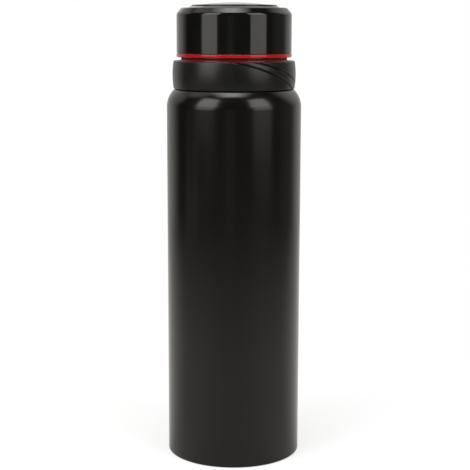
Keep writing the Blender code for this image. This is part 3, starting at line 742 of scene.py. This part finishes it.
def makePlugPlate():
    low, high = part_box("plug_plate")
    wall = plugPlate["wall"]
    rim = lidCore["plugBore"] - plugPlate["rimGap"]
    outline = [(high.x, low.z), (high.x, low.z + wall), (rim, low.z + wall), (rim, high.z),
               (rim - wall, high.z), (rim - wall, low.z + wall), (0, low.z + wall)]
    plate = turnPiece("plugPlate", outline, fromDisc=True)
    roundRings(plate, plugPlate["edge"], [(high.x, low.z), (high.x, low.z + wall)], plugPlate["edgeSegments"])
    fitPiece(plate, "lid", "plug_plate", "bare_steel", bareSteel)


makePlugPlate()

# Bezel and domed disc on the lid's top

bezel = {"rimRadius": 0.0252, "flank": 0.0015, "bore": 0.0227, "edge": 0.0003, "foot": 0.0005}


def makeBezel():
    low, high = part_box("lid_bezel")
    flankTop = low.z + bezel["flank"]
    flankLow = low.z + bezel["foot"]
    outline = [(bezel["bore"], low.z), (high.x, low.z), (high.x, flankLow), (bezel["rimRadius"], flankTop),
               (bezel["rimRadius"], high.z), (bezel["bore"], high.z), (bezel["bore"], low.z)]
    ring = turnPiece("lidBezel", outline)
    roundRings(ring, bezel["edge"], [(bezel["rimRadius"], high.z), (bezel["bore"], high.z)])
    fitPiece(ring, "lid", "lid_bezel", "bezel_plastic", bezelGloss)


makeBezel()

topDisc = {"edgeHeight": 0.001, "edge": 0.0003, "rings": 28}


def makeTopDisc():
    low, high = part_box("lid_top_disc")
    domeLow = low.z + topDisc["edgeHeight"]
    rise = high.z - domeLow
    domeRadius = (high.x ** 2 + rise ** 2) / (2 * rise)
    outline = [(high.x, low.z)]
    outline += arcPoints((0, high.z - domeRadius), domeRadius, acos(high.x / domeRadius), pi / 2,
                         topDisc["rings"])[:-1]
    outline.append((0, high.z))
    disc = turnPiece("lidTopDisc", outline, fromDisc=True)
    roundRings(disc, topDisc["edge"], [(high.x, domeLow)])
    fitPiece(disc, "lid", "lid_top_disc", "disc_steel", discSteel)


makeTopDisc()

# Inner pieces keep their CAD shapes and get their own finishes
innerFinishes = {"radiation_foil": brightFoil, "vacuum_plate": bareSteel, "seal_bead": solderGlass,
                 "getter_pellet": getterMetal, "getter_strap": bareSteel, "insulation_puck": whiteFoam,
                 "lid_inner_cover": corePlastic, "disc_pad": padFoam}
for node, finish in innerFinishes.items():
    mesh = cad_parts[node].data
    mesh.materials.clear()
    mesh.materials.append(finish)
print("inner pieces finished")

# Stage: floor, studio surroundings, lamps and camera

floorLook = {"radius": 0.9, "sides": 96, "colour": 0.8, "shadowShare": 0.4, "lift": 0.65, "nearRadius": 0.16,
             "farRadius": 0.42, "front": 0.47, "side": 0.6, "behind": 0.95, "fadeFrom": 0.28, "fadeTo": 0.85,
             "faded": 0.25, "sideBearing": 132, "sideTo": 96, "behindBearing": 32, "farTurn": 0.35,
             "tint": (1.0, 0.97, 0.935)}


def makeFloor():
    bpy.ops.object.select_all(action="DESELECT")
    bpy.ops.mesh.primitive_circle_add(vertices=floorLook["sides"], radius=floorLook["radius"],
                                      fill_type="NGON")
    floor = bpy.context.object
    floor.name = "studioFloor"
    surface = bpy.data.materials.new("paleFloor")
    surface.use_nodes = True
    surface.cycles.emission_sampling = "NONE"
    surface.node_tree.nodes.clear()
    output = addNode(surface, "ShaderNodeOutputMaterial")
    path = addNode(surface, "ShaderNodeLightPath")
    reach = addNode(surface, "ShaderNodeVectorMath", operation="LENGTH")
    wire(surface, objectPlace(surface), reach.inputs[0])
    matt = addNode(surface, "ShaderNodeBsdfDiffuse")
    matt.inputs["Color"].default_value = (*[floorLook["colour"]] * 3, 1)
    shadowed = addNode(surface, "ShaderNodeBsdfDiffuse")
    shadowed.inputs["Color"].default_value = (*[floorLook["shadowShare"]] * 3, 1)
    lift = addNode(surface, "ShaderNodeEmission")
    lift.inputs["Strength"].default_value = floorLook["lift"]
    near = addNode(surface, "ShaderNodeAddShader")
    white = addNode(surface, "ShaderNodeEmission")
    seen = addNode(surface, "ShaderNodeMixShader")
    mirrored = addNode(surface, "ShaderNodeEmission")
    mirrored.inputs["Color"].default_value = (*floorLook["tint"], 1)
    notSeen = addNode(surface, "ShaderNodeMixShader")
    whole = addNode(surface, "ShaderNodeMixShader")
    direct = addNode(surface, "ShaderNodeMath", operation="MAXIMUM")
    wire(surface, shadowed.outputs[0], near.inputs[0])
    wire(surface, lift.outputs[0], near.inputs[1])
    wire(surface, spreadFrom(surface, reach.outputs["Value"], 0, 1, floorLook["nearRadius"],
                             floorLook["farRadius"]), seen.inputs["Fac"])
    wire(surface, near.outputs[0], seen.inputs[1])
    wire(surface, white.outputs[0], seen.inputs[2])
    bearing = addNode(surface, "ShaderNodeVectorMath", operation="NORMALIZE")
    facing = addNode(surface, "ShaderNodeVectorMath", operation="DOT_PRODUCT")
    facing.inputs[1].default_value = (0, 1, 0)      # straight behind the flask
    before = addNode(surface, "ShaderNodeMath", operation="MULTIPLY")
    blend = addNode(surface, "ShaderNodeMix")
    blend.inputs["B"].default_value = floorLook["behind"]
    wire(surface, objectPlace(surface), bearing.inputs[0])
    wire(surface, bearing.outputs["Vector"], facing.inputs[0])
    wire(surface, spreadFrom(surface, facing.outputs["Value"], floorLook["front"], floorLook["side"],
                             -1, cos(radians(floorLook["sideBearing"]))), before.inputs[0])
    wire(surface, spreadFrom(surface, reach.outputs["Value"], 1, floorLook["faded"], floorLook["fadeFrom"],
                             floorLook["fadeTo"]), before.inputs[1])
    turned = addNode(surface, "ShaderNodeMath", operation="SUBTRACT")
    wire(surface, facing.outputs["Value"], turned.inputs[0])
    wire(surface, spreadFrom(surface, reach.outputs["Value"], 0, floorLook["farTurn"], floorLook["fadeFrom"],
                             floorLook["fadeTo"]), turned.inputs[1])
    wire(surface, spreadFrom(surface, turned.outputs["Value"], 0, 1, cos(radians(floorLook["sideTo"])),
                             cos(radians(floorLook["behindBearing"]))), blend.inputs["Factor"])
    wire(surface, before.outputs["Value"], blend.inputs["A"])
    wire(surface, blend.outputs["Result"], mirrored.inputs["Strength"])
    wire(surface, path.outputs["Is Glossy Ray"], notSeen.inputs["Fac"])
    wire(surface, matt.outputs[0], notSeen.inputs[1])
    wire(surface, mirrored.outputs[0], notSeen.inputs[2])
    wire(surface, path.outputs["Is Camera Ray"], direct.inputs[0])
    wire(surface, path.outputs["Is Transmission Ray"], direct.inputs[1])
    wire(surface, direct.outputs[0], whole.inputs["Fac"])
    wire(surface, notSeen.outputs[0], whole.inputs[1])
    wire(surface, seen.outputs[0], whole.inputs[2])
    wire(surface, whole.outputs[0], output.inputs["Surface"])
    floor.data.materials.append(surface)


makeFloor()

# What mirror-like surfaces see: a pale backdrop behind, a dim room in front, and some bright patches
studio = {"ambient": 0.5, "frontLow": 0.10, "frontHigh": 0.03, "frontFrom": -12, "frontTo": -2,
          "frontBearing": 180, "frontWithin": 75, "sideFrom": 105, "sideShare": 0.35, "behind": 0.69,
          "rightShare": 0.97, "tint": (1.0, 0.965, 0.92), "behindTurn": 2, "whiteTo": 44, "darkFrom": 75.5,
          "levelTo": 30, "dimFrom": 60, "dim": 0.6, "crossing": 0.5}
brightPatches = {"leftWall": {"bearing": -58, "height": 24, "inner": 6, "outer": 22, "bright": 0.62},
                 "leftCeiling": {"bearing": -75, "height": 56, "inner": 6, "outer": 24, "bright": 0.88},
                 "leftBehind": {"bearing": -14, "height": 25, "inner": 6, "outer": 17, "bright": 1.5},
                 "rightBehind": {"bearing": 44, "height": 27, "inner": 0, "outer": 35, "bright": 0.85},
                 "behindMiddle": {"bearing": 3, "height": 12, "inner": 6, "outer": 24, "bright": 0.7},
                 "rightWall": {"bearing": 72, "height": 0, "inner": 0, "outer": 35, "bright": 0.15},
                 "leftFloor": {"bearing": -97, "height": -12, "inner": 2, "outer": 10, "bright": 0.3},
                 "leftFrontFloor": {"bearing": -110, "height": -12, "inner": 2, "outer": 10, "bright": 0.3},
                 "frontMiddle": {"bearing": -173, "height": -8, "inner": 5, "outer": 13, "bright": 0.17},
                 "ceiling": {"bearing": 0, "height": 60, "inner": 16, "outer": 34, "bright": 1.18}}


def makeStudio():
    world = bpy.data.worlds.new("paleStudio")
    bpy.context.scene.world = world
    world.use_nodes = True
    world.cycles.sampling_method = "NONE"
    world.node_tree.nodes.clear()
    output = addNode(world, "ShaderNodeOutputWorld")
    path = addNode(world, "ShaderNodeLightPath")
    direction = addNode(world, "ShaderNodeTexCoord").outputs["Generated"]

    def smoothFrom(value, least, most, low, high):
        smooth = addNode(world, "ShaderNodeMapRange", interpolation_type="SMOOTHSTEP")
        for socket, number in zip(("From Min", "From Max", "To Min", "To Max"), (low, high, least, most)):
            smooth.inputs[socket].default_value = number
        wire(world, value, smooth.inputs["Value"])
        return smooth.outputs["Result"]

    def near(bearing, height, inner, outer, least, most):
        turn, climb = radians(bearing), radians(height)
        dot = addNode(world, "ShaderNodeVectorMath", operation="DOT_PRODUCT")
        dot.inputs[1].default_value = (sin(turn) * cos(climb), cos(turn) * cos(climb), sin(climb))
        wire(world, direction, dot.inputs[0])
        return smoothFrom(dot.outputs["Value"], least, most, cos(radians(outer)), cos(radians(inner)))

    def combine(operation, first, second):
        node = addNode(world, "ShaderNodeMath", operation=operation)
        wire(world, first, node.inputs[0])
        wire(world, second, node.inputs[1])
        return node.outputs["Value"]

    apart = addNode(world, "ShaderNodeSeparateXYZ")
    wire(world, direction, apart.inputs["Vector"])
    dimming = smoothFrom(apart.outputs["Z"], 1, studio["dim"], sin(radians(studio["levelTo"])),
                         sin(radians(studio["dimFrom"])))
    leftToRight = smoothFrom(apart.outputs["X"], studio["behind"], studio["behind"] * studio["rightShare"],
                             -studio["crossing"], studio["crossing"])
    backdrop = combine("MULTIPLY", leftToRight, near(-studio["behindTurn"], 0, studio["whiteTo"],
                                                     studio["darkFrom"], 0, 1))
    room = smoothFrom(apart.outputs["Z"], studio["frontLow"], studio["frontHigh"],
                      sin(radians(studio["frontFrom"])), sin(radians(studio["frontTo"])))
    room = combine("MULTIPLY", room, near(studio["frontBearing"], 0, studio["frontWithin"],
                                          studio["sideFrom"], studio["sideShare"], 1))
    strength = combine("MAXIMUM", room, combine("MULTIPLY", dimming, backdrop))
    for patch in brightPatches.values():
        strength = combine("MAXIMUM", strength, near(patch["bearing"], patch["height"], patch["inner"],
                                                     patch["outer"], 0, patch["bright"]))
    lights = [addNode(world, "ShaderNodeBackground") for _ in range(3)]
    ambient, mirrored, white = lights
    for light in lights:
        light.inputs["Color"].default_value = (1, 1, 1, 1)
    ambient.inputs["Strength"].default_value = studio["ambient"]
    mirrored.inputs["Color"].default_value = (*studio["tint"], 1)
    wire(world, strength, mirrored.inputs["Strength"])
    notSeen = addNode(world, "ShaderNodeMixShader")
    whole = addNode(world, "ShaderNodeMixShader")
    wire(world, path.outputs["Is Glossy Ray"], notSeen.inputs["Fac"])
    wire(world, ambient.outputs[0], notSeen.inputs[1])
    wire(world, mirrored.outputs[0], notSeen.inputs[2])
    wire(world, combine("MAXIMUM", path.outputs["Is Camera Ray"], path.outputs["Is Transmission Ray"]),
         whole.inputs["Fac"])
    wire(world, notSeen.outputs[0], whole.inputs[1])
    wire(world, white.outputs[0], whole.inputs[2])
    wire(world, whole.outputs[0], output.inputs["Surface"])


makeStudio()

# Softboxes: bearing from the front, distance, width, lowest and highest point, how bright their face is,
# and the shares of the width over which its two ends fade
sideBoxes = {
    "leftLowBox": {"bearing": -50.5, "away": 1.1, "width": 0.712, "low": 0.19, "high": 0.45, "bright": 1.93,
                   "fade": (0.16, 0.05)},
    "leftHighBox": {"bearing": -48, "away": 1.1, "width": 0.78, "low": 0.45, "high": 1.38, "bright": 3.3,
                    "fade": (0.1, 0.05)},
    "rightFootBox": {"bearing": 49.2, "away": 1.1, "width": 0.712, "low": 0.07, "high": 0.19, "bright": 0.42,
                     "fade": (0.1, 0.1)},
    "rightLowBox": {"bearing": 49.2, "away": 1.1, "width": 0.712, "low": 0.19, "high": 0.45, "bright": 1.68,
                    "fade": (0.05, 0.1)},
    "rightHighBox": {"bearing": 47, "away": 1.1, "width": 0.76, "low": 0.45, "high": 1.38, "bright": 3.05,
                     "fade": (0.05, 0.1)},
}
sideTint = (1.0, 0.97, 0.925)
topBox = {"middle": (-0.06, -0.25, 1.17), "size": (0.82, 0.56), "bright": 5.1, "fade": (0.4, 0.4),
          "tint": (1.0, 1.0, 1.0)}


def addSoftbox(name, middle, aim, width, height, bright, fade, tint):
    towards = Vector(aim) - Vector(middle)
    bpy.ops.object.light_add(type="AREA", location=middle,
                             rotation=towards.to_track_quat("-Z", "Y").to_euler())
    lamp = bpy.context.object
    lamp.name = name
    lamp.data.shape = "RECTANGLE"
    lamp.data.size = width
    lamp.data.size_y = height
    lamp.data.energy = bright * pi * width * height
    lamp.data.color = tint
    lamp.visible_camera = False
    lamp.data.use_nodes = True
    apart = addNode(lamp.data, "ShaderNodeSeparateXYZ")
    ends = addNode(lamp.data, "ShaderNodeMath", operation="MULTIPLY")
    wire(lamp.data, addNode(lamp.data, "ShaderNodeNewGeometry").outputs["Parametric"], apart.inputs["Vector"])
    wire(lamp.data, spreadFrom(lamp.data, apart.outputs["X"], 0, 1, 0, fade[0]), ends.inputs[0])
    wire(lamp.data, spreadFrom(lamp.data, apart.outputs["X"], 1, 0, 1 - fade[1], 1), ends.inputs[1])
    wire(lamp.data, ends.outputs["Value"], lamp.data.node_tree.nodes["Emission"].inputs["Strength"])


for lampName, box in sideBoxes.items():
    bearing = radians(box["bearing"])
    level = (box["low"] + box["high"]) / 2
    addSoftbox(lampName, (box["away"] * sin(bearing), -box["away"] * cos(bearing), level), (0, 0, level),
               box["width"], box["high"] - box["low"], box["bright"], box["fade"], sideTint)
addSoftbox("topBox", topBox["middle"], (*topBox["middle"][:2], 0), *topBox["size"], topBox["bright"],
           topBox["fade"], topBox["tint"])

cameraSpot = {"place": (0.00048, -0.7471, 0.2605), "tilt": 80.359, "roll": -0.13, "lens": 95.63,
              "nearest": 0.01}
bpy.ops.object.camera_add(location=cameraSpot["place"],
                          rotation=(radians(cameraSpot["tilt"]), radians(cameraSpot["roll"]), 0))
camera = bpy.context.object
camera.data.lens = cameraSpot["lens"]
camera.data.clip_start = cameraSpot["nearest"]
bpy.context.scene.camera = camera
bpy.context.scene.view_settings.view_transform = "Standard"
print("stage set")
